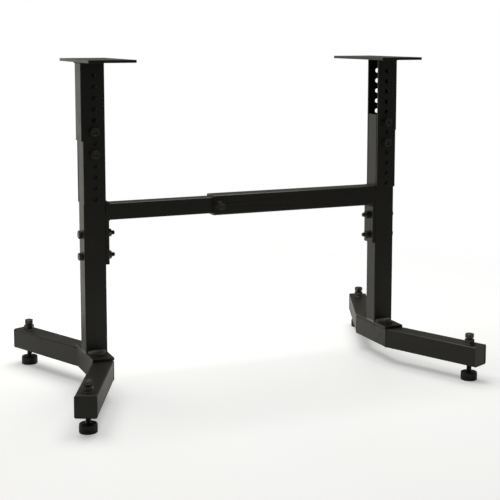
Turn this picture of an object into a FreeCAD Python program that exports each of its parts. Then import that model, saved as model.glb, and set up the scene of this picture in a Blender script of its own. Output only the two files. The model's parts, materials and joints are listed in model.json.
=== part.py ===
import FreeCAD, Part
import math
import os
import Sketcher
from FreeCAD import Placement, Rotation, Vector

# Adjustable table base. Two T legs are joined by a telescoping crossbar, and a U-shaped head slides on
# each post and is bolted at the height wanted. +X runs along the crossbar from the left leg to the right
# one, +Y to the back and +Z up. The origin is on the floor, midway between the posts. Millimetres.

SIZES = {
    # The table as a whole
    "post_spacing": 751.0,
    "hole_pitch": 25.4,
    # Posts: square tube standing on a base plate, with bolt holes near the top
    "post_width": 50.8,
    "post_depth": 44.5,
    "post_wall": 3.2,
    "post_corner": 3.0,
    "post_top": 620.0,
    "height_bolt_below_top": 19.0,
    # Feet: one square tube bent outwards by two mitres
    "foot_tube": 47.6,
    "foot_wall": 3.0,
    "foot_corner": 4.0,
    "foot_underside": 39.0,
    "mitre_from_post": 70.0,
    "arm_angle": 24.0,
    "arm_length": 253.5,
    "end_plate": 3.0,
    "levelling_from_mitre": 224.0,
    "levelling_hole": 7.0,
    # Base plates between posts and feet
    "base_plate_width": 50.8,
    "base_plate_length": 152.4,
    "base_plate_thick": 6.35,
    "base_bolt_from_post": 50.0,
    # Crossbar: an outer tube on the right leg slides over an inner tube on the left leg
    "crossbar_height": 417.0,
    "outer_tube": 47.6,
    "outer_wall": 4.5,
    "outer_corner": 4.0,
    "inner_tube": 38.1,
    "inner_wall": 3.0,
    "inner_corner": 2.5,
    "inner_length": 500.0,
    "inner_in_sight": 255.4,
    "lock_from_end": 14.0,
    "lock_tip_gap": 0.25,
    # Brackets that carry the crossbar on the posts
    "bracket_thick": 8.0,
    "bracket_width": 44.0,
    "bracket_bottom": 296.0,
    "bracket_top": 441.0,
    "bracket_bolt_low": 315.1,
    # Heads: a U channel round three sides of the post, with the top plate welded on it
    "channel_gap": 0.4,
    "channel_thick": 3.5,
    "channel_corner": 4.0,
    "channel_bottom": 438.0,
    "web_bottom": 580.0,
    "top_plate_height": 763.5,
    "top_plate_thick": 6.35,
    "top_plate_length": 254.0,
    "top_plate_outer": 38.1,
    "top_plate_inner": 69.9,
    "top_plate_corner": 2.0,
    "screw_hole": 3.5,
    "screw_from_edge": 12.0,
    # Bolts, nuts and washers: M10
    "bolt_radius": 5.0,
    "bolt_hole": 5.6,
    "thread_gap": 0.05,
    "bolt_head_flats": 17.0,
    "bolt_head_high": 6.4,
    "nut_high": 8.0,
    "washer_radius": 10.0,
    "washer_thick": 2.0,
    "washer_gap": 0.1,
    "bolt_past_nut": 3.0,
    "bracket_bolt_past_nut": 7.6,
    # Levelling feet: an M12 stem with a hex head, turned in a nut on the foot, standing in a pad
    "stem_radius": 6.0,
    "levelling_nut_flats": 22.0,
    "levelling_nut_high": 12.0,
    "stem_head_flats": 19.0,
    "stem_head_high": 10.0,
    "stem_head_gap": 3.0,
    "pad_radius": 19.5,
    "pad_high": 20.5,
    "pad_chamfer": 1.5,
    "pad_floor": 4.0,
    "stem_end_gap": 0.3,
}

HOLES_IN_CHANNEL = 12
HOLES_ABOVE_POST_BOLT = 5
LEFT, RIGHT = -1, 1
FRONT, REAR = -1, 1
SIDE_NAMES = {LEFT: "left", RIGHT: "right"}
END_NAMES = {FRONT: "front", REAR: "rear"}
THROUGH_ALL = "ThroughAll"
UP = Vector(0, 0, 1)

doc = FreeCAD.newDocument("adjustable_table_base")
sheet = doc.addObject("Spreadsheet::Sheet", "sizes")
for row, (alias, number) in enumerate(SIZES.items(), start=1):
    sheet.set(f"A{row}", alias)
    sheet.set(f"B{row}", str(number))
    sheet.setAlias(f"B{row}", alias)
doc.recompute()

nodes = []


# ---------------------------------------------------------------- drawing and feature helpers
def new_body(label):
    """An empty body that is one sub-part."""
    body = doc.addObject("PartDesign::Body", label)
    body.Label = label
    nodes.append(body)
    return body


def new_sketch(body, plane, name):
    """A sketch on one of the body's own origin planes."""
    sketch = body.newObject("Sketcher::SketchObject", f"{body.Label}_{name}")
    support = [item for item in body.Origin.OriginFeatures if item.Role == plane]
    sketch.AttachmentSupport = [(support[0], "")]
    sketch.MapMode = "FlatFace"
    return sketch


def place_point(sketch, geometry, point, x, y, tag):
    """Holds a point of the sketch at two expressions, measured from the sketch's origin."""
    for axis, expression in (("X", x), ("Y", y)):
        value = sketch.evalExpression(expression)
        rule = Sketcher.Constraint(f"Distance{axis}", -1, 1, geometry, point, value)
        name = f"{axis.lower()}_{tag}"
        sketch.renameConstraint(sketch.addConstraint(rule), name)
        sketch.setExpression(f"Constraints.{name}", expression)


def draw_outline(sketch, corners):
    """A closed outline of straight lines. Each corner is a pair of expressions."""
    points = [Vector(sketch.evalExpression(x), sketch.evalExpression(y), 0) for x, y in corners]
    count = len(points)
    for i in range(count):
        sketch.addGeometry(Part.LineSegment(points[i], points[(i + 1) % count]))
    for i in range(count):
        sketch.addConstraint(Sketcher.Constraint("Coincident", i, 2, (i + 1) % count, 1))
    for i, (x, y) in enumerate(corners):
        place_point(sketch, i, 1, x, y, f"corner_{i}")


def draw_box(sketch, half_x, half_y):
    """A rectangle centred on the sketch's origin."""
    corners = [(-1, -1), (1, -1), (1, 1), (-1, 1)]
    draw_outline(sketch, [(f"{a} * ({half_x})", f"{b} * ({half_y})") for a, b in corners])


def draw_holes(sketch, centres, radius):
    """Circles of one radius. Each centre is a pair of expressions."""
    for i, (x, y) in enumerate(centres):
        centre = Vector(sketch.evalExpression(x), sketch.evalExpression(y), 0)
        circle = sketch.addGeometry(Part.Circle(centre, UP, sketch.evalExpression(radius)))
        rule = Sketcher.Constraint("Radius", circle, sketch.evalExpression(radius))
        sketch.renameConstraint(sketch.addConstraint(rule), f"radius_{i}")
        sketch.setExpression(f"Constraints.radius_{i}", radius)
        place_point(sketch, circle, 3, x, y, f"centre_{i}")


def pad(body, sketch, length, symmetric=False):
    """Pads the sketch by an expression."""
    feature = body.newObject("PartDesign::Pad", f"{sketch.Name}_pad")
    feature.Profile = sketch
    feature.setExpression("Length", length)
    if symmetric:
        feature.SideType = "Symmetric"
    doc.recompute()


def pocket_through(body, sketch, one_way=False):
    """Cuts the sketch through the body, both ways or only the way the sketch faces."""
    before = body.Shape.Volume
    feature = body.newObject("PartDesign::Pocket", f"{sketch.Name}_pocket")
    feature.Profile = sketch
    feature.Type = THROUGH_ALL
    if one_way:
        feature.Reversed = True
    else:
        feature.SideType = "Symmetric"
    doc.recompute()
    if body.Shape.Volume >= before:
        raise RuntimeError(f"{feature.Name} cuts nothing")


def round_edges(body, radius, keep):
    """Fillets the straight edges of the body's tip that keep(start, end) accepts."""
    tip = body.Tip
    names = []
    for i, edge in enumerate(tip.Shape.Edges, start=1):
        if keep(edge.Vertexes[0].Point, edge.Vertexes[-1].Point):
            names.append(f"Edge{i}")
    feature = body.newObject("PartDesign::Fillet", f"{body.Label}_fillet")
    feature.Base = (tip, names)
    feature.setExpression("Radius", radius)
    doc.recompute()


def runs_along(axis):
    """A test for edges parallel to X, Y or Z, given as 0, 1 or 2."""

    def test(start, end):
        run = end - start
        return run.Length > 0 and abs(run[axis]) > 0.999 * run.Length

    return test


def primitive(kind, name, **sizes):
    """A Part primitive whose properties are bound to expressions."""
    item = doc.addObject(f"Part::{kind}", name)
    for key, expression in sizes.items():
        item.setExpression(key, expression)
    return item


def combine(kind, name, base, tool):
    """A Part boolean of two objects: Fuse or Cut."""
    result = doc.addObject(f"Part::{kind}", name)
    result.Base = base
    result.Tool = tool
    return result


def facing(direction):
    """The rotation that turns +Z to a direction."""
    return Rotation(UP, Vector(*direction))


# ---------------------------------------------------------------- fasteners, each built along +Z
def hex_bolt(name, flats, head_high, length, radius="sizes.bolt_radius"):
    """The shank runs from 0 to length along +Z and the hex head lies below 0."""
    head = primitive("Prism", f"{name}_head", Circumradius=f"{flats} / sqrt(3)", Height=head_high)
    head.Polygon = 6
    head.setExpression("Placement.Base.z", f"-1 * {head_high}")
    shank = primitive("Cylinder", f"{name}_shank", Radius=radius, Height=length)
    return combine("Fuse", name, head, shank)


def standard_bolt(length):
    """A maker of M10 bolts with a shank of the length given by an expression."""
    return lambda name: hex_bolt(name, "sizes.bolt_head_flats", "sizes.bolt_head_high", length)


def hex_nut(name, flats="sizes.bolt_head_flats", high="sizes.nut_high", radius="sizes.bolt_radius"):
    """A hex nut from 0 upwards, bored to a running fit on the thread."""
    block = primitive("Prism", f"{name}_block", Circumradius=f"{flats} / sqrt(3)", Height=high)
    block.Polygon = 6
    bore = primitive("Cylinder", f"{name}_bore", Radius=f"{radius} + sizes.thread_gap", Height=high)
    return combine("Cut", name, block, bore)


def levelling_nut(name):
    """The larger nut welded on the foot above a levelling stem."""
    return hex_nut(name, "sizes.levelling_nut_flats", "sizes.levelling_nut_high", "sizes.stem_radius")


def washer(name):
    """A plain washer from 0 upwards."""
    thick = "sizes.washer_thick"
    disc = primitive("Cylinder", f"{name}_disc", Radius="sizes.washer_radius", Height=thick)
    hole = primitive("Cylinder", f"{name}_hole", Radius="sizes.bolt_hole", Height=thick)
    return combine("Cut", name, disc, hole)


def fasteners(label, make, places):
    """One node holding a fastener at each (position, direction)."""
    items = []
    for i, (position, direction) in enumerate(places, start=1):
        item = make(f"{label}_{i}")
        item.Placement = Placement(Vector(*position), facing(direction))
        items.append(item)
    group = doc.addObject("Part::Compound", label)
    group.Label = label
    group.Links = items
    nodes.append(group)


# ---------------------------------------------------------------- places shared by several sub-parts
def post_x(side):
    return side * SIZES["post_spacing"] / 2


def outward(side):
    """The rotation that turns a sub-part drawn for the left leg to face out of this leg."""
    return Rotation(UP, 0 if side == LEFT else 180)


foot_top = SIZES["foot_underside"] + SIZES["foot_tube"]
foot_middle = SIZES["foot_underside"] + SIZES["foot_tube"] / 2
post_foot = foot_top + SIZES["base_plate_thick"]
height_bolt_upper = SIZES["post_top"] - SIZES["height_bolt_below_top"]
height_bolts_z = [height_bolt_upper, height_bolt_upper - 2 * SIZES["hole_pitch"]]
bracket_bolts_z = [SIZES["bracket_bolt_low"], SIZES["bracket_bolt_low"] + 2 * SIZES["hole_pitch"]]
channel_outer_y = SIZES["post_depth"] / 2 + SIZES["channel_gap"] + SIZES["channel_thick"]
bracket_face = SIZES["post_width"] / 2 + SIZES["bracket_thick"]


def arm_direction(side, end):
    """The level unit vector that a foot arm runs along."""
    angle = math.radians(SIZES["arm_angle"])
    return Vector(side * math.sin(angle), end * math.cos(angle), 0)


def levelling_point(side, end):
    """Where a levelling stem's axis meets the floor."""
    mitre = Vector(post_x(side), end * SIZES["mitre_from_post"], 0)
    return mitre + arm_direction(side, end) * SIZES["levelling_from_mitre"]


# ---------------------------------------------------------------- sub-parts of a leg
def post(side):
    """Square tube with two pairs of bolt holes across Y for the head and two across X for the bracket."""
    body = new_body(f"post_{SIDE_NAMES[side]}")
    tube = new_sketch(body, "XY_Plane", "section")
    draw_box(tube, "sizes.post_width / 2", "sizes.post_depth / 2")
    feet_and_plate = "sizes.foot_underside + sizes.foot_tube + sizes.base_plate_thick"
    pad(body, tube, f"sizes.post_top - ({feet_and_plate})")
    round_edges(body, "sizes.post_corner", runs_along(2))
    bore = new_sketch(body, "XY_Plane", "bore")
    draw_box(bore, "sizes.post_width / 2 - sizes.post_wall", "sizes.post_depth / 2 - sizes.post_wall")
    pocket_through(body, bore)
    across_y = new_sketch(body, "XZ_Plane", "height_bolt_holes")
    top = f"sizes.post_top - ({feet_and_plate}) - sizes.height_bolt_below_top"
    draw_holes(across_y, [("0", top), ("0", f"{top} - 2 * sizes.hole_pitch")], "sizes.bolt_hole")
    pocket_through(body, across_y)
    across_x = new_sketch(body, "YZ_Plane", "bracket_bolt_holes")
    low = f"sizes.bracket_bolt_low - ({feet_and_plate})"
    draw_holes(across_x, [("0", low), ("0", f"{low} + 2 * sizes.hole_pitch")], "sizes.bolt_hole")
    pocket_through(body, across_x)
    body.Placement = Placement(Vector(post_x(side), 0, post_foot), Rotation())


def base_plate(side):
    """Flat plate under the post, with a bolt hole in front of it and one behind."""
    body = new_body(f"base_plate_{SIDE_NAMES[side]}")
    outline = new_sketch(body, "XY_Plane", "outline")
    draw_box(outline, "sizes.base_plate_width / 2", "sizes.base_plate_length / 2")
    pad(body, outline, "sizes.base_plate_thick")
    holes = new_sketch(body, "XY_Plane", "bolt_holes")
    centres = [("0", "-1 * sizes.base_bolt_from_post"), ("0", "sizes.base_bolt_from_post")]
    draw_holes(holes, centres, "sizes.bolt_hole")
    pocket_through(body, holes)
    body.Placement = Placement(Vector(post_x(side), 0, foot_top), Rotation())


def base_plate_fasteners(side):
    """Bolts down through the plate and the foot's top wall into nuts held inside the foot."""
    name = SIDE_NAMES[side]
    ys = [end * SIZES["base_bolt_from_post"] for end in (FRONT, REAR)]
    under_wall = foot_top - SIZES["foot_wall"]
    stack = "sizes.washer_thick + sizes.base_plate_thick + sizes.foot_wall + sizes.nut_high"
    length = f"{stack} + sizes.bolt_past_nut"
    washers = [((post_x(side), y, post_foot), (0, 0, 1)) for y in ys]
    bolts = [((post_x(side), y, post_foot + SIZES["washer_thick"]), (0, 0, -1)) for y in ys]
    nuts = [((post_x(side), y, under_wall), (0, 0, -1)) for y in ys]
    fasteners(f"base_plate_washers_{name}", washer, washers)
    fasteners(f"base_plate_bolts_{name}", standard_bolt(length), bolts)
    fasteners(f"base_plate_nuts_{name}", hex_nut, nuts)


def foot_center(side):
    """Middle length of the foot, mitred at both ends: shorter on the outer side, where the arms bend to."""
    body = new_body(f"foot_center_{SIDE_NAMES[side]}")
    half = "sizes.foot_tube / 2"
    bevel = f"{half} * tan(sizes.arm_angle / 2 * 1 deg)"
    short = f"sizes.mitre_from_post - {bevel}"
    long = f"sizes.mitre_from_post + {bevel}"
    outline = new_sketch(body, "XY_Plane", "outline")
    corners = [(f"-1 * {half}", f"-1 * ({short})"), (half, f"-1 * ({long})")]
    corners += [(half, long), (f"-1 * {half}", short)]
    draw_outline(outline, corners)
    pad(body, outline, "sizes.foot_tube", symmetric=True)
    round_edges(body, "sizes.foot_corner", runs_along(1))
    bore = new_sketch(body, "XZ_Plane", "bore")
    inside = f"({half} - sizes.foot_wall)"
    draw_box(bore, inside, inside)
    pocket_through(body, bore)
    holes = new_sketch(body, "XY_Plane", "base_bolt_holes")
    centres = [("0", "-1 * sizes.base_bolt_from_post"), ("0", "sizes.base_bolt_from_post")]
    draw_holes(holes, centres, "sizes.bolt_hole")
    pocket_through(body, holes, one_way=True)
    body.Placement = Placement(Vector(post_x(side), 0, foot_middle), outward(side))


def arm_placement(side, end):
    """Puts an arm drawn along +X at its mitre. Two of the four are rolled over to mirror the mitre."""
    direction = arm_direction(side, end)
    turn = Rotation(UP, math.degrees(math.atan2(direction.y, direction.x)))
    roll = Rotation(Vector(1, 0, 0), 0 if side * end > 0 else 180)
    mitre = Vector(post_x(side), end * SIZES["mitre_from_post"], foot_middle)
    return Placement(mitre, turn * roll)


def foot_arm(side, end):
    """Arm of the foot, drawn along +X from the mitre, with a hole right through for the levelling stem."""
    body = new_body(f"foot_arm_{END_NAMES[end]}_{SIDE_NAMES[side]}")
    half = "sizes.foot_tube / 2"
    bevel = f"{half} * tan(sizes.arm_angle / 2 * 1 deg)"
    length = "sizes.arm_length - sizes.end_plate"
    outline = new_sketch(body, "XY_Plane", "outline")
    corners = [(f"-1 * {bevel}", half), (bevel, f"-1 * {half}")]
    corners += [(length, f"-1 * {half}"), (length, half)]
    draw_outline(outline, corners)
    pad(body, outline, "sizes.foot_tube", symmetric=True)
    round_edges(body, "sizes.foot_corner", runs_along(0))
    bore = new_sketch(body, "YZ_Plane", "bore")
    inside = f"({half} - sizes.foot_wall)"
    draw_box(bore, inside, inside)
    pocket_through(body, bore)
    hole = new_sketch(body, "XY_Plane", "levelling_hole")
    draw_holes(hole, [("sizes.levelling_from_mitre", "0")], "sizes.levelling_hole")
    pocket_through(body, hole)
    body.Placement = arm_placement(side, end)


def foot_end_plate(side, end):
    """Plate welded over the open end of an arm."""
    body = new_body(f"foot_end_plate_{END_NAMES[end]}_{SIDE_NAMES[side]}")
    outline = new_sketch(body, "YZ_Plane", "outline")
    draw_box(outline, "sizes.foot_tube / 2", "sizes.foot_tube / 2")
    pad(body, outline, "sizes.end_plate")
    round_edges(body, "sizes.foot_corner", runs_along(0))
    place = arm_placement(side, end)
    start = Vector(SIZES["arm_length"] - SIZES["end_plate"], 0, 0)
    body.Placement = Placement(place.multVec(start), place.Rotation)


def levelling_pad(side, end):
    """Round pad with a blind socket for the stem's lower end."""
    body = new_body(f"levelling_pad_{END_NAMES[end]}_{SIDE_NAMES[side]}")
    half_section = new_sketch(body, "XZ_Plane", "half_section")
    radius, high, chamfer = "sizes.pad_radius", "sizes.pad_high", "sizes.pad_chamfer"
    socket = "sizes.stem_radius + sizes.thread_gap"
    corners = [("0", "0"), (radius, "0"), (radius, f"{high} - {chamfer}"), (f"{radius} - {chamfer}", high)]
    corners += [(socket, high), (socket, "sizes.pad_floor"), ("0", "sizes.pad_floor")]
    draw_outline(half_section, corners)
    turned = body.newObject("PartDesign::Revolution", f"{body.Label}_turned")
    turned.Profile = half_section
    turned.ReferenceAxis = (half_section, ["V_Axis"])
    turned.Angle = 360
    body.Placement = Placement(levelling_point(side, end), Rotation())


def levelling_stem(side, end):
    """Threaded stem from the pad's socket up through the foot and its nut to a hex head."""
    label = f"levelling_stem_{END_NAMES[end]}_{SIDE_NAMES[side]}"
    foot_and_nut = "sizes.foot_underside + sizes.foot_tube + sizes.levelling_nut_high"
    length = f"{foot_and_nut} + sizes.stem_head_gap - sizes.pad_floor - sizes.stem_end_gap"
    stem = hex_bolt(label, "sizes.stem_head_flats", "sizes.stem_head_high", length, "sizes.stem_radius")
    stem.Label = label
    head = foot_top + SIZES["levelling_nut_high"] + SIZES["stem_head_gap"]
    stem.Placement = Placement(levelling_point(side, end) + Vector(0, 0, head), facing((0, 0, -1)))
    nodes.append(stem)


def levelling_nuts(side):
    """The nuts welded on top of the foot for its two stems."""
    points = [levelling_point(side, end) for end in (FRONT, REAR)]
    places = [((point.x, point.y, foot_top), (0, 0, 1)) for point in points]
    fasteners(f"levelling_nuts_{SIDE_NAMES[side]}", levelling_nut, places)


def crossbar_bracket(side):
    """Upright plate on the post's inner face, welded to the end of the crossbar and bolted to the post."""
    body = new_body(f"crossbar_bracket_{SIDE_NAMES[side]}")
    outline = new_sketch(body, "YZ_Plane", "outline")
    half = "sizes.bracket_width / 2"
    bottom, top = "sizes.bracket_bottom", "sizes.bracket_top"
    draw_outline(outline, [(f"-1 * {half}", bottom), (half, bottom), (half, top), (f"-1 * {half}", top)])
    pad(body, outline, "sizes.bracket_thick")
    holes = new_sketch(body, "YZ_Plane", "bolt_holes")
    low = "sizes.bracket_bolt_low"
    draw_holes(holes, [("0", low), ("0", f"{low} + 2 * sizes.hole_pitch")], "sizes.bolt_hole")
    pocket_through(body, holes)
    face = Vector(post_x(side) - side * SIZES["post_width"] / 2, 0, 0)
    body.Placement = Placement(face, outward(side))


def bracket_fasteners(side):
    """Bolts through the post and the bracket: heads on the outer side, nuts on the inner side."""
    name = SIDE_NAMES[side]
    inwards = (-side, 0, 0)
    outer = post_x(side) + side * SIZES["post_width"] / 2
    inner = post_x(side) - side * bracket_face
    thick = SIZES["washer_thick"]
    through = "sizes.post_width + sizes.bracket_thick + 2 * sizes.washer_thick + sizes.nut_high"
    length = f"{through} + sizes.bracket_bolt_past_nut"
    washers = []
    for z in bracket_bolts_z:
        washers.append(((outer, 0, z), (side, 0, 0)))
        washers.append(((inner, 0, z), inwards))
    heads = [((outer + side * thick, 0, z), inwards) for z in bracket_bolts_z]
    nuts = [((inner - side * thick, 0, z), inwards) for z in bracket_bolts_z]
    fasteners(f"bracket_washers_{name}", washer, washers)
    fasteners(f"bracket_bolts_{name}", standard_bolt(length), heads)
    fasteners(f"bracket_nuts_{name}", hex_nut, nuts)


def height_fasteners(side):
    """Bolts from back to front through channel and post: heads at the back, nuts at the front."""
    name = SIDE_NAMES[side]
    flange = channel_outer_y + SIZES["washer_gap"]
    seat = flange + SIZES["washer_thick"]
    half_channel = "sizes.post_depth / 2 + sizes.channel_gap + sizes.channel_thick"
    half_grip = f"{half_channel} + sizes.washer_gap + sizes.washer_thick"
    length = f"2 * ({half_grip}) + sizes.nut_high + sizes.bolt_past_nut"
    washers = []
    for z in height_bolts_z:
        washers.append(((post_x(side), -flange, z), (0, -1, 0)))
        washers.append(((post_x(side), flange, z), (0, 1, 0)))
    heads = [((post_x(side), seat, z), (0, -1, 0)) for z in height_bolts_z]
    nuts = [((post_x(side), -seat, z), (0, -1, 0)) for z in height_bolts_z]
    fasteners(f"height_washers_{name}", washer, washers)
    fasteners(f"height_bolts_{name}", standard_bolt(length), heads)
    fasteners(f"height_nuts_{name}", hex_nut, nuts)


# ---------------------------------------------------------------- sub-parts of a head
def head_channel(side):
    """U channel round the post's outer, front and back faces. Its web stops above the bracket bolts."""
    body = new_body(f"head_channel_{SIDE_NAMES[side]}")
    web_in = "(sizes.post_width / 2 + sizes.channel_gap)"
    web_out = f"({web_in} + sizes.channel_thick)"
    flange_in = "(sizes.post_depth / 2 + sizes.channel_gap)"
    flange_out = f"({flange_in} + sizes.channel_thick)"
    lip = "(sizes.post_width / 2 - sizes.channel_gap)"
    section = new_sketch(body, "XY_Plane", "section")
    lower = [(f"-1 * {web_out}", f"-1 * {flange_out}"), (lip, f"-1 * {flange_out}")]
    lower += [(lip, f"-1 * {flange_in}"), (f"-1 * {web_in}", f"-1 * {flange_in}")]
    upper = [(f"-1 * {web_in}", flange_in), (lip, flange_in)]
    upper += [(lip, flange_out), (f"-1 * {web_out}", flange_out)]
    draw_outline(section, lower + upper)
    underside = "(sizes.top_plate_height - sizes.top_plate_thick)"
    pad(body, section, f"{underside} - sizes.channel_bottom")
    web_face = -(SIZES["post_width"] / 2 + SIZES["channel_gap"] + SIZES["channel_thick"])
    upright = runs_along(2)

    def outer_corner(start, end):
        return upright(start, end) and start.x < web_face + 0.01

    round_edges(body, "sizes.channel_corner", outer_corner)
    web_cut = new_sketch(body, "XZ_Plane", "web_cut")
    cut_top = "sizes.web_bottom - sizes.channel_bottom"
    beyond = f"-1 * ({web_out} + sizes.channel_thick)"
    draw_outline(
        web_cut,
        [(beyond, "0"), (f"-1 * {web_in}", "0"), (f"-1 * {web_in}", cut_top), (beyond, cut_top)],
    )
    pocket_through(body, web_cut)
    holes = new_sketch(body, "XZ_Plane", "height_holes")
    at_upper_bolt = "sizes.post_top - sizes.height_bolt_below_top - sizes.channel_bottom"
    centres = []
    for i in range(HOLES_IN_CHANNEL):
        steps = HOLES_ABOVE_POST_BOLT - i
        centres.append(("0", f"{at_upper_bolt} + {steps} * sizes.hole_pitch"))
    draw_holes(holes, centres, "sizes.bolt_hole")
    pocket_through(body, holes)
    body.Placement = Placement(Vector(post_x(side), 0, SIZES["channel_bottom"]), outward(side))


def top_plate(side):
    """Plate that the table top is screwed to, with a hole near each corner."""
    body = new_body(f"top_plate_{SIDE_NAMES[side]}")
    outer, inner = "-1 * sizes.top_plate_outer", "sizes.top_plate_inner"
    front, back = "-1 * sizes.top_plate_length / 2", "sizes.top_plate_length / 2"
    outline = new_sketch(body, "XY_Plane", "outline")
    draw_outline(outline, [(outer, front), (inner, front), (inner, back), (outer, back)])
    pad(body, outline, "sizes.top_plate_thick")
    round_edges(body, "sizes.top_plate_corner", runs_along(2))
    holes = new_sketch(body, "XY_Plane", "screw_holes")
    inset = "sizes.screw_from_edge"
    xs = (f"{outer} + {inset}", f"{inner} - {inset}")
    ys = (f"{front} + {inset}", f"{back} - {inset}")
    draw_holes(holes, [(x, y) for x in xs for y in ys], "sizes.screw_hole")
    pocket_through(body, holes)
    underside = SIZES["top_plate_height"] - SIZES["top_plate_thick"]
    body.Placement = Placement(Vector(post_x(side), 0, underside), outward(side))


# ---------------------------------------------------------------- the crossbar
def square_tube(label, width, wall, corner, length):
    """A square tube along +X from the origin. All sizes are expressions."""
    body = new_body(label)
    section = new_sketch(body, "YZ_Plane", "section")
    draw_box(section, f"{width} / 2", f"{width} / 2")
    pad(body, section, length)
    round_edges(body, corner, runs_along(0))
    bore = new_sketch(body, "YZ_Plane", "bore")
    draw_box(bore, f"({width} / 2 - {wall})", f"({width} / 2 - {wall})")
    pocket_through(body, bore)
    return body


def crossbar():
    """The inner tube starts at the left bracket and the outer tube ends at the right one."""
    left_face = post_x(LEFT) + bracket_face
    inner = square_tube(
        "inner_crossbar", "sizes.inner_tube", "sizes.inner_wall", "sizes.inner_corner", "sizes.inner_length"
    )
    inner.Placement = Placement(Vector(left_face, 0, SIZES["crossbar_height"]), Rotation())
    brackets = "2 * (sizes.post_width / 2 + sizes.bracket_thick)"
    outer = square_tube(
        "outer_crossbar",
        "sizes.outer_tube",
        "sizes.outer_wall",
        "sizes.outer_corner",
        f"sizes.post_spacing - {brackets} - sizes.inner_in_sight",
    )
    hole = new_sketch(outer, "XZ_Plane", "lock_hole")
    draw_holes(hole, [("sizes.lock_from_end", "0")], "sizes.bolt_hole")
    pocket_through(outer, hole, one_way=True)
    outer_end = left_face + SIZES["inner_in_sight"]
    outer.Placement = Placement(Vector(outer_end, 0, SIZES["crossbar_height"]), Rotation())


def crossbar_lock():
    """A nut welded on the outer tube's front face, and the bolt in it that bears on the inner tube."""
    x = post_x(LEFT) + bracket_face + SIZES["inner_in_sight"] + SIZES["lock_from_end"]
    z = SIZES["crossbar_height"]
    face = SIZES["outer_tube"] / 2
    fasteners("lock_nut", hex_nut, [((x, -face, z), (0, -1, 0))])
    under_head = face + SIZES["nut_high"] + SIZES["bolt_past_nut"]
    length = "sizes.outer_tube / 2 + sizes.nut_high + sizes.bolt_past_nut"
    reach = f"{length} - sizes.inner_tube / 2 - sizes.lock_tip_gap"
    fasteners("lock_bolt", standard_bolt(reach), [((x, -under_head, z), (0, 1, 0))])


# ---------------------------------------------------------------- build, check and write
for leg in (LEFT, RIGHT):
    post(leg)
    base_plate(leg)
    base_plate_fasteners(leg)
    foot_center(leg)
    levelling_nuts(leg)
    crossbar_bracket(leg)
    bracket_fasteners(leg)
    height_fasteners(leg)
    head_channel(leg)
    top_plate(leg)
    for arm in (FRONT, REAR):
        foot_arm(leg, arm)
        foot_end_plate(leg, arm)
        levelling_pad(leg, arm)
        levelling_stem(leg, arm)
crossbar()
crossbar_lock()
doc.recompute()

for item in doc.Objects:
    if "Invalid" in item.State or "Error" in item.State:
        raise RuntimeError(f"{item.Label} failed: {item.State}")
for node in nodes:
    if node.Shape.isNull() or not node.Shape.isValid():
        raise RuntimeError(f"{node.Label} has no valid shape")

os.makedirs("parts", exist_ok=True)
for node in nodes:
    node.Shape.exportStep(f"parts/{node.Label}.step")
print(f"{len(nodes)} sub-parts written")
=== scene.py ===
import json
import math

import bmesh
import bpy
import numpy as np
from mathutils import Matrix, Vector

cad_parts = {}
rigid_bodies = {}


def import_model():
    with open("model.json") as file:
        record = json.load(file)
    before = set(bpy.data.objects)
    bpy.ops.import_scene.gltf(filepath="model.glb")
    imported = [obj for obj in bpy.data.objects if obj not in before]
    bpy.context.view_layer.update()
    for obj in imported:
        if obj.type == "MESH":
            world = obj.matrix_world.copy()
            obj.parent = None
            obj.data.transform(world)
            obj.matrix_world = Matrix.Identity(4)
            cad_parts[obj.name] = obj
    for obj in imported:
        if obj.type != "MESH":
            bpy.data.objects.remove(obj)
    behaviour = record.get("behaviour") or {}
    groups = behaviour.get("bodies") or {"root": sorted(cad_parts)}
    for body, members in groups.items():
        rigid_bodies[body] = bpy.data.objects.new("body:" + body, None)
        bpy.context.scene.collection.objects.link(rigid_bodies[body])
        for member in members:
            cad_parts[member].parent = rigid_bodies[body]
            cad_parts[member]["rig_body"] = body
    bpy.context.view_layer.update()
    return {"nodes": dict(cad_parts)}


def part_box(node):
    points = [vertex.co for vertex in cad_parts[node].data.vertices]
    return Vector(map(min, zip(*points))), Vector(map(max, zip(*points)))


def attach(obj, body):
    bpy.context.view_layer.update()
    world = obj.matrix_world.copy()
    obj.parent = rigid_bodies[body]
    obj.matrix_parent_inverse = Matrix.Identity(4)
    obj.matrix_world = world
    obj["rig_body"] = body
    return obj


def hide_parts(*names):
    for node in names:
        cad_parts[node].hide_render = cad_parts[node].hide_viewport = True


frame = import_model()
print("frame loaded,", len(frame["nodes"]), "nodes")

sides = {"left": -1, "right": 1}  # the way out from the middle, along X
ends = {"front": -1, "rear": 1}  # the way out from the posts, along Y
xWay, yWay, zWay = np.eye(3)


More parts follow.
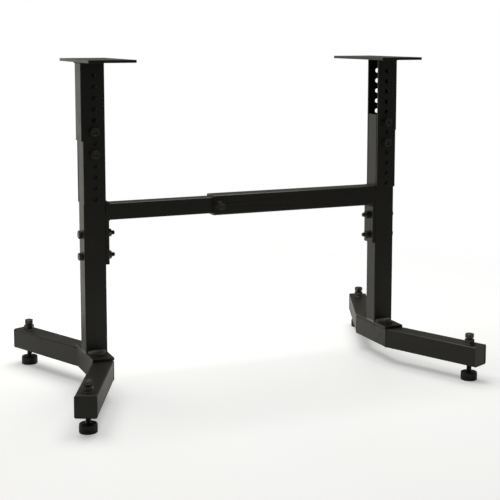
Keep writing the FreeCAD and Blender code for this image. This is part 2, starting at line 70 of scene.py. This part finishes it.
class Wire:
    # one output of a node: sums and products written with it become Math nodes
    def __init__(self, tree, socket=None):
        self.tree, self.socket = tree, socket

    def node(self, kind, settings=None, inputs=None, out=0):
        made = self.tree.nodes.new(kind)
        for name, setting in (settings or {}).items():
            setattr(made, name, setting)
        for name, value in (inputs or {}).items():
            if isinstance(value, Wire):
                self.tree.links.new(value.socket, made.inputs[name])
            else:
                made.inputs[name].default_value = value
        return Wire(self.tree, made.outputs[out]) if len(made.outputs) else made

    def math(self, operation, *terms):
        return self.node("ShaderNodeMath", {"operation": operation}, dict(enumerate(terms)))

    def __add__(self, other):
        return self.math("ADD", self, other)

    def __sub__(self, other):
        return self.math("SUBTRACT", self, other)

    def __rsub__(self, other):
        return self.math("SUBTRACT", other, self)

    def __mul__(self, other):
        return self.math("MULTIPLY", self, other)

    __radd__, __rmul__ = __add__, __mul__

    def noise(self, scale, detail=2.0, stretch=(1, 1, 1)):
        where = self.node("ShaderNodeTexCoord", out="Object")
        where = self.node("ShaderNodeMapping", inputs={"Vector": where, "Scale": stretch})
        return self.node("ShaderNodeTexNoise",
                         inputs={"Vector": where, "Scale": scale, "Detail": detail})

    def between(self, low, high):  # 0 below low, 1 above high, smooth between
        return self.node("ShaderNodeMapRange", {"interpolation_type": "SMOOTHSTEP"},
                         {"Value": self, "From Min": low, "From Max": high})

    def mixed(self, first, second):  # this wire is the second colour's share
        first, second = ((*c, 1) if isinstance(c, tuple) else c for c in (first, second))
        return self.node("ShaderNodeMix", {"data_type": "RGBA"}, {0: self, 6: first, 7: second}, 2)

    def bump(self, deep, under=None):  # this wire is a height from 0 to 1, deep is in metres
        inputs = {"Height": self, "Distance": deep}
        if under:
            inputs["Normal"] = under
        return self.node("ShaderNodeBump", inputs=inputs)


def newFinish(name):
    made = bpy.data.materials.new(name)
    made.use_nodes = True
    made.node_tree.nodes.clear()
    return made, Wire(made.node_tree)


def surface(wire, **inputs):
    shader = wire.node("ShaderNodeBsdfPrincipled",
                       inputs={name.replace("_", " "): value for name, value in inputs.items()})
    wire.node("ShaderNodeOutputMaterial", inputs={"Surface": shader})


coat = {
    "tone": (0.0125, 0.0122, 0.0102), "warmTone": (0.0165, 0.0158, 0.0125),
    "dust": (0.050, 0.048, 0.040), "dustShare": 0.16,
    # seam: the post welds' pale colour, a painted reflection standing in for the light seen at
    # each post's foot
    # the edge strip's lighter colour is partly rubbed wear and partly a painted highlight
    "wornAndHighlight": (0.070, 0.068, 0.060), "seam": (0.300, 0.295, 0.270),
    "gloss": 0.30, "glossSpread": 0.14,  # roughness at the shiniest and how far it rises
    "peelScale": 520, "peelDeep": 0.00007, "grainScale": 1900, "grainDeep": 0.000025,
    "rollScale": 9, "rollDeep": 0.0006,
}


def powderCoat(name, wearAndPaintedLightTo=None, least=0.0):
    # sprayed powder: orange peel over rolled steel, cloudy colour, dust, and where asked
    # patches of a lighter colour, which everywhere has at least the least share; on the rolled
    # edge strip these are partly rubbed wear and partly painted highlight, on the post welds a
    # painted reflection
    made, wire = newFinish(name)
    cloud = wire.noise(5.5, 4.0).between(0.38, 0.66)
    dust = wire.noise(38, 6.0).between(0.5, 0.78) * wire.noise(4, 2.0).between(0.4, 0.7)
    fleck = wire.noise(900, 1.0).between(0.66, 0.74)
    colour = cloud.mixed(coat["tone"], coat["warmTone"])
    colour = (dust * coat["dustShare"] + fleck * 0.10).mixed(colour, coat["dust"])
    if wearAndPaintedLightTo:
        # lighter patches: partly rubbed wear and partly painted highlight on the edge strip, a
        # painted reflection on the post welds
        wearAndPaintedLightMask = wire.noise(60, 5.0).between(0.42, 0.60)
        colour = (wearAndPaintedLightMask * (0.87 - least) + least).mixed(colour, coat[wearAndPaintedLightTo])
    rough = coat["gloss"] + coat["glossSpread"] * wire.noise(14, 5.0) + dust * 0.18
    rolled = wire.noise(coat["rollScale"], 1.0).bump(coat["rollDeep"])
    peel = wire.noise(coat["peelScale"], 1.5).bump(coat["peelDeep"], rolled)
    grain = wire.noise(coat["grainScale"], 1.0).bump(coat["grainDeep"], peel)
    surface(wire, Base_Color=colour, Roughness=rough, Normal=grain)
    return made


oxide = {
    "tone": (0.085, 0.084, 0.080), "brown": (0.090, 0.082, 0.070), "bare": (0.32, 0.31, 0.29),
    "metal": 0.80, "gloss": 0.24, "glossSpread": 0.22, "grainScale": 1500, "grainDeep": 0.00003,
    "toolScale": 260, "toolDeep": 0.00005,
}


def blackOxide():
    # heat-blackened steel: brownish patches, bare specks, tool marks across the flats
    made, wire = newFinish("blackOxide")
    patch = wire.noise(160, 4.0).between(0.45, 0.7)
    bare = wire.noise(420, 3.0).between(0.66, 0.76)
    colour = (bare * 0.5).mixed(patch.mixed(oxide["tone"], oxide["brown"]), oxide["bare"])
    rough = oxide["gloss"] + oxide["glossSpread"] * wire.noise(300, 3.0)
    marks = wire.noise(oxide["toolScale"], 2.0, (1, 1, 9)).bump(oxide["toolDeep"])
    grain = wire.noise(oxide["grainScale"], 1.0).bump(oxide["grainDeep"], marks)
    surface(wire, Base_Color=colour, Roughness=rough, Normal=grain,
            Metallic=oxide["metal"] - 0.2 * patch)
    return made


nylon = {
    "tone": (0.0095, 0.0095, 0.0098), "scuff": (0.040, 0.039, 0.037),
    "gloss": 0.44, "glossSpread": 0.16, "grainScale": 1300, "grainDeep": 0.00005,
}


def padNylon():
    # moulded nylon: a fine sparked texture, and flat scuffs round the side
    made, wire = newFinish("padNylon")
    scuff = wire.noise(230, 5.0, (1, 1, 3)).between(0.58, 0.72)
    colour = (scuff * 0.35).mixed(nylon["tone"], nylon["scuff"])
    rough = nylon["gloss"] + nylon["glossSpread"] * wire.noise(90, 3.0)
    spark = wire.noise(nylon["grainScale"], 2.0).bump(nylon["grainDeep"])
    surface(wire, Base_Color=colour, Roughness=rough, Normal=spark)
    return made


# the edge finish is lighter all along the rolled strip: partly rubbed wear, partly painted
# highlight
coatFinish, edgeWearAndHighlightFinish = powderCoat("powderCoat"), powderCoat("powderCoatEdgeWearAndHighlight", "wornAndHighlight", 0.12)
# the post welds are painted pale all over: a painted reflection, not bare weld metal
postWeldReflectionFinish = powderCoat("powderCoatWeldPaintedReflection", "seam", 0.40)
oxideFinish, nylonFinish = blackOxide(), padNylon()
print("finishes made")


def newPiece(name, mesh, finishes, body, nodes=()):
    for finish in finishes:
        mesh.materials.append(finish)
    mesh.shade_smooth()
    mesh.set_sharp_from_angle(angle=math.radians(38))
    piece = bpy.data.objects.new(name, mesh)
    bpy.context.scene.collection.objects.link(piece)
    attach(piece, body)
    if nodes:
        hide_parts(*nodes)
    return piece


# Steelwork: each tube and plate is the imported shape with its doubles merged and its sharp
# edges rolled over, the rolled strip in a lighter finish that is partly rubbed wear and partly
# painted highlight.

steel = {"edge": 0.0006, "sheetEdge": 0.0009, "steps": 2}


def rolledSteel(node, edge):
    source = frame["nodes"][node]
    shape = bmesh.new()
    shape.from_mesh(source.data)
    bmesh.ops.remove_doubles(shape, verts=shape.verts, dist=2e-6)
    bmesh.ops.recalc_face_normals(shape, faces=shape.faces)
    corners = np.array([v.co[:] for v in shape.verts])
    faces = [[v.index for v in f.verts] for f in shape.faces]
    shape.free()
    mesh = bpy.data.meshes.new(node + "_steel")
    mesh.from_pydata(corners, [], faces)
    piece = newPiece(node + "_steel", mesh, [coatFinish, edgeWearAndHighlightFinish], source["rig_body"],
                     [node])
    roll = piece.modifiers.new("rolledEdges", "BEVEL")
    roll.width, roll.segments = edge, steel["steps"]
    roll.limit_method, roll.angle_limit = "ANGLE", math.radians(40)
    # the rolled strip takes the lighter finish: partly wear, partly painted highlight
    roll.material = 1
    even = piece.modifiers.new("evenShade", "WEIGHTED_NORMAL")
    even.mode, even.weight, even.keep_sharp = "FACE_AREA", 100, True
    return piece


for side in sides:
    for node in ("post_", "foot_center_", "foot_arm_front_", "foot_arm_rear_"):
        rolledSteel(node + side, steel["edge"])
    for node in ("base_plate_", "crossbar_bracket_", "head_channel_", "top_plate_",
                 "foot_end_plate_front_", "foot_end_plate_rear_"):
        rolledSteel(node + side, steel["sheetEdge"])
rolledSteel("inner_crossbar", steel["edge"])
rolledSteel("outer_crossbar", steel["edge"])
print("steelwork rolled")


def meshOf(name, grids):
    # each grid is rows by columns of points; its columns join up in a ring, and where it is
    # looped its rows do too. A row of one repeated point is a pole and closes the end.
    mesh = bpy.data.meshes.new(name)
    whole = bmesh.new()
    for points, looped in grids:
        rows, columns = points.shape[:2]
        index = np.arange(rows * columns).reshape(rows, columns)
        if looped:
            index = np.vstack([index, index[:1]])
        turned = np.roll(index, -1, axis=1)
        quads = np.stack([index[:-1], turned[:-1], turned[1:], index[1:]], axis=-1)
        part = bpy.data.meshes.new("part")
        part.from_pydata(points.reshape(-1, 3), [], quads.reshape(-1, 4))
        shape = bmesh.new()
        shape.from_mesh(part)
        bmesh.ops.remove_doubles(shape, verts=shape.verts, dist=1e-6)
        bmesh.ops.recalc_face_normals(shape, faces=shape.faces)
        shape.to_mesh(part)
        whole.from_mesh(part)
        shape.free()
        bpy.data.meshes.remove(part)
    whole.to_mesh(mesh)
    whole.free()
    return mesh


thread = {"columns": 48, "pitch": 0.0015, "deep": 0.0009, "rowsPerTurn": 5, "radius": 0.005,
          "stemPitch": 0.00175, "stemRadius": 0.006}
around = np.linspace(0, 2 * math.pi, thread["columns"], endpoint=False)


def hexRadius(flats):
    # half the distance across the flats, over the cosine of the angle from the nearest flat
    return flats / 2 / np.cos(around % (math.pi / 3) - math.pi / 6)


def turnedRows(radii, heights):
    # a row for each radius and height, each a number or one value for each column
    blank = np.zeros_like(around)
    radii = np.array([blank + r for r in radii])
    heights = np.array([blank + h for h in heights])
    return np.stack([radii * np.cos(around), radii * np.sin(around), heights], axis=-1)


def boltShape(flats, high, length, threaded, radius=thread["radius"], pitch=thread["pitch"]):
    # a forged hex head below 0, its corners cut by a cone, and a shank above 0 whose radius
    # dips by a triangle wave of height over pitch less angle over a full turn
    outline = hexRadius(flats)
    crown, face = flats * 0.47, flats * 0.46
    drop = (outline - crown).clip(0) * math.tan(math.radians(28))
    radii = [0, crown * 0.52, crown * 0.66, crown, outline, outline, outline - 0.0004, face, face,
             radius]
    heights = [0.0005 - high, 0.0005 - high, -high, -high, drop - high, -0.0008, -0.0004, -0.0004,
               0, 0]
    start = length - threaded
    tip = radius * 0.2
    turns = np.arange(start, length - 1e-5, pitch / thread["rowsPerTurn"])[:, None]
    wave = np.abs(2 * ((turns / pitch - around / (2 * math.pi)) % 1) - 1)
    dip = thread["deep"] * (wave * 1.3 - 0.15).clip(0, 1) * ((turns - start) / 0.002).clip(0, 1)
    shank = np.minimum(radius - dip, radius - (turns - length + tip).clip(0))
    rows = turnedRows([*radii, radius, *shank, radius - tip, 0],
                      [*heights, max(start - 0.0002, 0.0002), *turns[:, 0], length, length])
    return rows, False


def nutShape(flats, high, radius=thread["radius"]):
    # a ring: up the bore, across the top, down the chamfered hexagon and back
    outline = hexRadius(flats)
    crown, bore = flats * 0.475, radius - 0.0004
    drop = (outline - crown).clip(0) * math.tan(math.radians(28))
    return turnedRows(
        [bore + 0.0008, bore, bore, bore + 0.0008, crown, outline, outline, crown],
        [0, 0.0008, high - 0.0008, high, high, high - drop, drop, 0]), True


def washerShape(inner, outer, thick):
    # a stamped ring, rounder on its upper rim than on the lower
    soft = thick * 0.25
    return turnedRows(
        [inner + soft, inner, inner, inner + soft, outer - 2 * soft, outer - soft * 0.5, outer,
         outer, outer - soft * 0.4],
        [0, soft, thick - soft, thick, thick, thick - soft * 0.5, thick - 2 * soft, soft * 0.4,
         0]), True


def placed(shape, origin, axis, corner, turn=0.0):
    # the shape's height goes along axis, and its first corner towards corner, then turned
    points, looped = shape
    side = np.cross(axis, corner)
    first = corner * math.cos(turn) + side * math.sin(turn)
    second = np.cross(axis, first)
    return origin + points @ np.array([first, second, axis]), looped


fastener = {
    "flats": 0.017, "headHigh": 0.0064, "nutHigh": 0.008, "threaded": 0.026,
    "washerHole": 0.0056, "washerRadius": 0.010, "washerThick": 0.002,
    "turns": [0.0, 0.35, -0.2, 0.6, 0.12, -0.4, 0.5, -0.1],  # how far each was tightened
}


def centres(washers, axis):
    # the washers are round, so their box less a radius at each end gives the bolts' centres
    low, high = (np.array(v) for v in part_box(washers))
    inset = np.where(axis, 0, fastener["washerRadius"])
    return low + inset, high - inset


def boltGroup(label, axis, corner, spread, body):
    # two bolts along axis, with a washer at each nut and head where the model has them
    washers, bolts, nuts = (f"{label[0]}_{kind}_{label[1]}" for kind in
                            ("washers", "bolts", "nuts"))
    along = int(np.argmax(np.abs(axis)))
    way = axis[along]
    low, high = centres(washers, axis)
    boltBox, nutBox, washerBox = (np.array(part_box(n)) for n in (bolts, nuts, washers))
    headAt = (washerBox[0] if way > 0 else washerBox[1])[along]  # under the head
    tipAt = (boltBox[1] if way > 0 else boltBox[0])[along]
    nutAt = (nutBox[0] if way > 0 else nutBox[1])[along]
    thick = fastener["washerThick"]
    length = abs(tipAt - headAt)
    shapes = {"bolts": [], "nuts": [], "washers": []}
    for n, share in enumerate(spread):
        origin = low + (high - low) * share
        turn = fastener["turns"][(n + 3 * len(label[0]) + len(label[1])) % 8]

        def at(place):
            moved = origin.copy()
            moved[along] = place
            return moved

        shapes["bolts"].append(placed(boltShape(fastener["flats"], fastener["headHigh"], length,
                                                min(fastener["threaded"], length - 0.001)),
                                      at(headAt), axis, corner, turn))
        shapes["nuts"].append(placed(nutShape(fastener["flats"], fastener["nutHigh"]),
                                     at(nutAt), axis, corner, -turn))
        ring = washerShape(fastener["washerHole"], fastener["washerRadius"], thick)
        shapes["washers"].append(placed(ring, at(headAt + way * thick), -axis, corner))
        if (washerBox[1] - washerBox[0])[along] > 2 * thick:  # a washer at the nut too
            shapes["washers"].append(placed(ring, at(nutAt - way * thick), axis, corner))
    for kind, node in (("bolts", bolts), ("nuts", nuts), ("washers", washers)):
        newPiece(node + "_turned", meshOf(node, shapes[kind]), [oxideFinish], body,
                 [node])


for side, out in sides.items():
    leg = "leg_" + side
    boltGroup(("height", side), yWay, xWay, [0, 1], leg)
    boltGroup(("bracket", side), -out * xWay, zWay, [0, 1], leg)
    boltGroup(("base_plate", side), -zWay, xWay, [0, 1], leg)

lock = {"flats": 0.017, "headHigh": 0.0064, "nutHigh": 0.008, "threaded": 0.0145, "turn": 0.25}
low, high = (np.array(v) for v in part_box("lock_bolt"))
lockCentre = (low + high) / 2
headUnder = np.array([lockCentre[0], low[1] + lock["headHigh"], lockCentre[2]])
newPiece("lock_bolt_turned", meshOf("lock_bolt", [placed(
    boltShape(lock["flats"], lock["headHigh"], high[1] - headUnder[1], lock["threaded"]),
    headUnder, yWay, xWay, lock["turn"])]), [oxideFinish], "leg_right",
    ["lock_bolt"])
nutLow, nutHigh = (np.array(v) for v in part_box("lock_nut"))
nutUnder = np.array([lockCentre[0], nutHigh[1], lockCentre[2]])
newPiece("lock_nut_turned", meshOf("lock_nut", [placed(
    nutShape(lock["flats"], lock["nutHigh"]), nutUnder, -yWay, xWay)]),
    [oxideFinish], "leg_right", ["lock_nut"])
print("bolts, nuts and washers turned")

# Levelling feet: a hex-headed threaded stem down through a welded nut into a moulded pad.

foot = {
    "headHigh": 0.010, "headFlats": 0.019, "nutFlats": 0.022, "nutHigh": 0.012, "turn": 0.3,
    "padRows": [  # radius, height
        (0, .0014), (.0108, .0014), (.0123, .0003), (.0131, 0), (.0174, 0), (.0187, .0003),
        (.0193, .0010), (.0195, .0022), (.0195, .0056), (.01935, .0058), (.01935, .0062),
        (.0195, .0064), (.0195, .0156), (.0194, .0171), (.0190, .0183), (.0183, .0192),
        (.0171, .0197), (.0145, .0200), (.0104, .0201), (.0098, .0203), (.0092, .0205),
        (.0076, .0205), (.0070, .0202), (.0066, .0195), (.0066, .0042), (0, .0041)],
}


def smoothed(rows, steps):
    # more rows, spaced evenly between each two that are given
    rows = np.array(rows)
    share = np.arange(len(rows) * steps - steps + 1) / steps
    return [np.interp(share, np.arange(len(rows)), rows[:, n]) for n in (0, 1)]


for side, out in sides.items():
    nuts = []
    for end in ends:
        stemNode, padNode = f"levelling_stem_{end}_{side}", f"levelling_pad_{end}_{side}"
        low, high = (np.array(v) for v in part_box(padNode))
        centre = np.array([*(low + high)[:2] / 2, 0])
        newPiece(padNode + "_moulded", meshOf(padNode, [placed(
            (turnedRows(*smoothed(foot["padRows"], 2)), False), centre, zWay, xWay)]),
            [nylonFinish], f"pad_{end}_{side}", [padNode])
        low, high = (np.array(v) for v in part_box(stemNode))
        under = centre + zWay * (high[2] - foot["headHigh"])
        length = under[2] - low[2]
        newPiece(stemNode + "_turned", meshOf(stemNode, [placed(
            boltShape(foot["headFlats"], foot["headHigh"], length, length - 0.001,
                      thread["stemRadius"], thread["stemPitch"]),
            under, -zWay, xWay, foot["turn"] * out)]),
            [oxideFinish], f"stem_{end}_{side}", [stemNode])
        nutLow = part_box("levelling_nuts_" + side)[0][2]
        nuts.append(placed(nutShape(foot["nutFlats"], foot["nutHigh"], thread["stemRadius"]),
                           centre + zWay * nutLow, zWay, xWay))
    newPiece(f"levelling_nuts_{side}_turned", meshOf("levelling_nuts", nuts), [oxideFinish],
             "leg_" + side, [f"levelling_nuts_{side}"])
print("levelling feet made")

# Welds: a section carried along the line where two faces meet, swelling with each ripple.

weld = {"ripple": 0.0018, "step": 0.0003, "swell": 0.10}


def evenPath(points, closed):
    # points at equal steps along the line through the given ones, and the way it runs there
    points = np.array(points, float)
    if closed:
        points = np.vstack([points, points[:1]])
    run = np.concatenate([[0], np.cumsum(np.linalg.norm(np.diff(points, axis=0), axis=1))])
    places = np.linspace(0, run[-1], int(run[-1] / weld["step"]) + 1)
    path = np.stack([np.interp(places, run, points[:, n]) for n in range(3)], axis=-1)
    return (path[:-1], places[:-1], run[-1]) if closed else (path, places, run[-1])


def bead(points, first, second, legs, closed, flat=False):
    # a fillet fills the corner between the ways first and second, with a slightly full face;
    # a flat bead lies across the line by first and rises by second as half an ellipse
    path, places, whole = evenPath(points, closed)
    wide, high = legs
    if flat:
        angle = np.linspace(0, math.pi, 8)
        reach = np.stack([wide * np.cos(angle), high * np.sin(angle)], axis=-1)
        reach = np.vstack([reach, [[-wide * 0.6, -0.0008], [wide * 0.6, -0.0008]]])
    else:
        angle = np.linspace(0, math.pi / 2, 8)
        full = (np.cos(angle) + np.sin(angle)) ** -0.55
        reach = np.stack([wide * full * np.cos(angle), high * full * np.sin(angle)], axis=-1)
        reach = np.vstack([reach, [[-0.0006, high * 0.5], [-0.0006, -0.0006],
                                   [wide * 0.5, -0.0006]]])
    bend = np.concatenate([np.cos(angle * (1 if flat else 2)), np.zeros(len(reach) - len(angle))])
    ripple = 2 * math.pi * places[:, None] / weld["ripple"] + 1.4 * bend ** 2
    wander = np.sin(places * 310 + 1.3)[:, None] * 0.05
    size = 1 + weld["swell"] * np.abs(np.sin(ripple / 2)) - weld["swell"] + wander
    if not closed:  # both ends round off
        near = np.minimum(places, whole - places)[:, None] / max(wide, 0.002)
        size = size * np.sqrt(1 - (1 - near.clip(0, 1)) ** 2)
    first, second = (np.broadcast_to(np.array(way, float), path.shape) if np.ndim(way) == 1
                     else waysAlong(points, way, path, closed) for way in (first, second))
    rows = (path[:, None] + (size * reach[:, 0])[..., None] * first[:, None]
            + (size * reach[:, 1])[..., None] * second[:, None])
    return rows, closed


def waysAlong(points, ways, path, closed):
    # the way given at each corner, carried evenly to the points of the path
    points, ways = np.array(points, float), np.array(ways, float)
    if closed:
        points, ways = np.vstack([points, points[:1]]), np.vstack([ways, ways[:1]])
    run = np.concatenate([[0], np.cumsum(np.linalg.norm(np.diff(points, axis=0), axis=1))])
    places = np.linspace(0, run[-1], len(path) + closed)[:len(path)]
    found = np.stack([np.interp(places, run, ways[:, n]) for n in range(3)], axis=-1)
    return found / np.linalg.norm(found, axis=1)[:, None]


def roundedLoop(halfWide, halfHigh, radius):
    # flat (u, v) points round a box with rounded corners, and the way out at each
    angle = np.linspace(0, math.pi / 2, 6)
    points, ways = [], []
    for n, (u, v) in enumerate(((1, 1), (-1, 1), (-1, -1), (1, -1))):
        turn = angle + n * math.pi / 2
        way = np.stack([np.cos(turn), np.sin(turn)], axis=-1)
        points.append(way * radius + [u * (halfWide - radius), v * (halfHigh - radius)])
        ways.append(way)
    return np.vstack(points), np.vstack(ways)


def flatTo(points, first, second):
    return points[:, :1] * first + points[:, 1:] * second


joint = {
    # sizes across each bead
    "post": (0.0068, 0.0068), "postSide": (0.0026, 0.0009), "mitreSeam": (0.0022, 0.0005),
    "endSeam": (0.0016, 0.0004), "stemNut": (0.0024, 0.0024), "innerBar": (0.0028, 0.0036),
    "underBar": (0.0055, 0.0055), "besideBar": (0.0018, 0.0026), "lockNut": (0.0022, 0.0022),
    "head": (0.0038, 0.0038),
    # how far beads stop short of corners, and the corners that they follow
    "postInset": 0.003, "bracketInset": 0.002, "barInset": 0.004, "headInset": 0.002,
    "footCorner": 0.004, "barCorner": 0.0025, "channelCorner": 0.004,
    # where the feet bend and end
    "arm": math.radians(24), "armLong": 0.2535, "mitre": 0.070,
}

for side, out in sides.items():
    post, plate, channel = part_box("post_" + side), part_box("base_plate_" + side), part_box(
        "head_channel_" + side)
    postX = (post[0].x + post[1].x) / 2
    halfX, halfY, plateTop = (post[1].x - post[0].x) / 2, post[1].y, plate[1].z
    beads, postBeads = [], []
    inset = joint["postInset"]
    for way in (-1, 1):  # the post's front and back, on the base plate
        line = [(postX - halfX + inset, way * halfY, plateTop),
                (postX + halfX - inset, way * halfY, plateTop)]
        postBeads.append(bead(line, way * yWay, zWay, joint["post"], False))
        line = [(postX + way * halfX, -halfY + inset, plateTop),
                (postX + way * halfX, halfY - inset, plateTop)]
        postBeads.append(bead(line, zWay, way * xWay, joint["postSide"], False, flat=True))

    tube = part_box(f"foot_center_{side}")
    half, tubeZ = (tube[1].z - tube[0].z) / 2, (tube[1].z + tube[0].z) / 2
    loop, ways = roundedLoop(half, half, joint["footCorner"])
    for end, way in ends.items():
        lean = -math.tan(joint["arm"] / 2) * out * loop[:, :1]
        seam = (np.array([postX, way * joint["mitre"], tubeZ]) + flatTo(loop, xWay, zWay)
                + way * lean * yWay)
        beads.append(bead(seam, yWay, flatTo(ways, xWay, zWay), joint["mitreSeam"], True,
                          flat=True))
        run = np.array([out * math.sin(joint["arm"]), way * math.cos(joint["arm"]), 0])
        across = np.cross(run, zWay)
        armEnd = np.array([postX, way * joint["mitre"], tubeZ]) + run * joint["armLong"]
        beads.append(bead(armEnd + flatTo(loop, across, zWay), run, flatTo(ways, across, zWay),
                          joint["endSeam"], True, flat=True))
        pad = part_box(f"levelling_pad_{end}_{side}")
        centre = np.array([*(pad[0] + pad[1])[:2], 2 * tube[1].z]) / 2
        ring = np.stack([np.cos(around), np.sin(around)], axis=-1)
        beads.append(bead(centre + flatTo(ring * hexRadius(foot["nutFlats"])[:, None], xWay, yWay),
                          flatTo(ring, xWay, yWay), zWay, joint["stemNut"], True))

    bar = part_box("inner_crossbar" if side == "left" else "outer_crossbar")
    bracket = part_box("crossbar_bracket_" + side)
    faceX = bracket[1].x if side == "left" else bracket[0].x
    barZ, barHalf = (bar[0].z + bar[1].z) / 2, bar[1].y
    if side == "left":
        loop, ways = roundedLoop(barHalf, barHalf, joint["barCorner"])
        line = np.array([faceX, 0, barZ]) + flatTo(loop, yWay, zWay)
        beads.append(bead(line, flatTo(ways, yWay, zWay), xWay, joint["innerBar"], True))
    else:
        reach = bracket[1].y - joint["bracketInset"]
        line = [(faceX, -reach, bar[0].z), (faceX, reach, bar[0].z)]
        beads.append(bead(line, -zWay, -xWay, joint["underBar"], False))
        for way in (-1, 1):
            line = [(faceX, way * bracket[1].y, bar[0].z + joint["barInset"]),
                    (faceX, way * bracket[1].y, bar[1].z - joint["barInset"])]
            beads.append(bead(line, way * yWay, xWay, joint["besideBar"], False))
        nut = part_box("lock_nut")
        centre = np.array([(nut[0].x + nut[1].x) / 2, nut[1].y, (nut[0].z + nut[1].z) / 2])
        ring = np.stack([np.cos(around), np.sin(around)], axis=-1)
        beads.append(bead(centre + flatTo(ring * hexRadius(lock["flats"])[:, None], xWay, zWay),
                          flatTo(ring, xWay, zWay), -yWay, joint["lockNut"], True))
    newPiece(f"welds_leg_{side}", meshOf("welds", beads), [coatFinish], "leg_" + side)
    # the beads round each post's foot take the pale finish, a painted reflection
    newPiece(f"welds_post_{side}", meshOf("welds", postBeads), [postWeldReflectionFinish], "leg_" + side)

    webX = channel[0].x if side == "left" else channel[1].x
    openX = channel[1].x if side == "left" else channel[0].x
    halfY, corner, top = channel[1].y, joint["channelCorner"], channel[1].z
    openX += out * joint["headInset"]
    angle = np.linspace(0, math.pi / 2, 6)
    bend = np.stack([webX - out * corner * (1 - np.sin(angle)),
                     halfY - corner * (1 - np.cos(angle))], axis=-1)
    bendWays = np.stack([out * np.sin(angle), np.cos(angle)], axis=-1)
    line = np.vstack([[[openX, halfY]], bend, bend[::-1] * [1, -1], [[openX, -halfY]]])
    ways = np.vstack([[[0, 1]], bendWays, bendWays[::-1] * [1, -1], [[0, -1]]])
    newPiece(f"welds_head_{side}", meshOf("welds", [bead(
        flatTo(line, xWay, yWay) + zWay * top, flatTo(ways, xWay, yWay), -zWay, joint["head"],
        False)]),
        [coatFinish], "head_" + side)
print("welds laid")

# Studio: a pale floor that fades into the white around it, soft panels and the camera.

floorLook = {"radius": 1.5, "rings": 24, "tone": (0.86, 0.873, 0.95),
             "paleTone": (0.88, 0.88, 0.87), "glow": 0.32,
             "front": 0.58, "rear": 0.90}  # how much light the floor gives back to the steel


def paleFloor():
    rings = np.linspace(0, 1, floorLook["rings"])[:, None] ** 0.7 * floorLook["radius"] * 1.35
    turn = np.linspace(0, 2 * math.pi, 96, endpoint=False)
    points = np.stack([rings * np.cos(turn), rings * np.sin(turn), 0 * rings * turn], axis=-1)
    mesh = meshOf("paleFloor", [(points, False)])
    made, wire = newFinish("paleFloor")
    where = wire.node("ShaderNodeTexCoord", out="Object")
    far = wire.node("ShaderNodeVectorMath", {"operation": "LENGTH"}, {0: where}, "Value")
    fade = far.between(floorLook["radius"] * 0.5, floorLook["radius"] * 1.3)
    tone = (wire.noise(3.0, 3.0) * 0.6).mixed(floorLook["tone"], floorLook["paleTone"])
    diffuse = wire.node("ShaderNodeBsdfDiffuse", inputs={"Color": tone})
    glow = wire.node("ShaderNodeEmission", inputs={"Strength": floorLook["glow"]})
    pale = wire.node("ShaderNodeAddShader", inputs={0: diffuse, 1: glow})
    depth = wire.node("ShaderNodeSeparateXYZ", inputs={0: where}, out="Y").between(-0.9, 0.9)
    given = depth.mixed((floorLook["front"],) * 3, (floorLook["rear"],) * 3)
    bounce = wire.node("ShaderNodeBsdfDiffuse", inputs={"Color": given})
    seen = wire.node("ShaderNodeLightPath", out="Is Camera Ray")
    floorShader = wire.node("ShaderNodeMixShader", inputs={0: seen, 1: bounce, 2: pale})
    clear = wire.node("ShaderNodeBsdfTransparent")
    both = wire.node("ShaderNodeMixShader", inputs={0: fade, 1: floorShader, 2: clear})
    wire.node("ShaderNodeOutputMaterial", inputs={"Surface": both})
    mesh.materials.append(made)
    floor = bpy.data.objects.new("paleFloor", mesh)
    bpy.context.scene.collection.objects.link(floor)


paleFloor()

studio = {
    "surround": 0.13, "tint": (1.0, 0.985, 0.90),  # what surfaces see beside the panels
    "panels": [  # name, place, aimed at, width, height, brightness
        ("overhead", (0.0, 0.7, 2.7), (0, 0.1, 0), 3.0, 2.4, 3.1),
        ("leftRear", (-1.9, 3.0, 0.3), (-0.3, 0, 0.3), 3.6, 3.6, 0.70),
        ("right", (3.2, 1.2, 1.6), (0.2, 0, 0.3), 1.6, 1.2, 0.55),
    ],
}
world = bpy.data.worlds.new("studio")
bpy.context.scene.world = world
world.use_nodes = True
world.node_tree.nodes.clear()
room = Wire(world.node_tree)
seen = room.node("ShaderNodeLightPath", out="Is Camera Ray")
dim = room.node("ShaderNodeBackground", inputs={"Strength": studio["surround"]})
white = room.node("ShaderNodeBackground", inputs={"Strength": 1.0})
for background in (dim, white):
    background.socket.node.inputs["Color"].default_value = (1, 1, 1, 1)
dim.socket.node.inputs["Color"].default_value = (*studio["tint"], 1)
both = room.node("ShaderNodeMixShader", inputs={0: seen, 1: dim, 2: white})
room.node("ShaderNodeOutputWorld", inputs={"Surface": both})

for name, place, aim, wide, high, bright in studio["panels"]:
    light = bpy.data.lights.new(name, "AREA")
    light.shape, light.size, light.size_y = "RECTANGLE", wide, high
    light.energy, light.color = bright * math.pi * wide * high, studio["tint"]
    panel = bpy.data.objects.new(name, light)
    bpy.context.scene.collection.objects.link(panel)
    panel.location = place
    panel.rotation_euler = (Vector(aim) - Vector(place)).to_track_quat("-Z", "Y").to_euler()
    panel.visible_camera = False

view = {"place": (-1.0728, -2.5305, 0.820), "yaw": 23.279, "down": 6.495, "lens": 83.05,
        "shift": -0.17}
camera = bpy.data.objects.new("camera", bpy.data.cameras.new("camera"))
bpy.context.scene.collection.objects.link(camera)
camera.location = view["place"]
camera.rotation_euler = (math.radians(90 - view["down"]), 0, -math.radians(view["yaw"]))
camera.data.sensor_width, camera.data.lens = 36, view["lens"]
camera.data.shift_y = view["shift"]
bpy.context.scene.camera = camera
bpy.context.scene.view_settings.view_transform = "Standard"
print("studio lit")
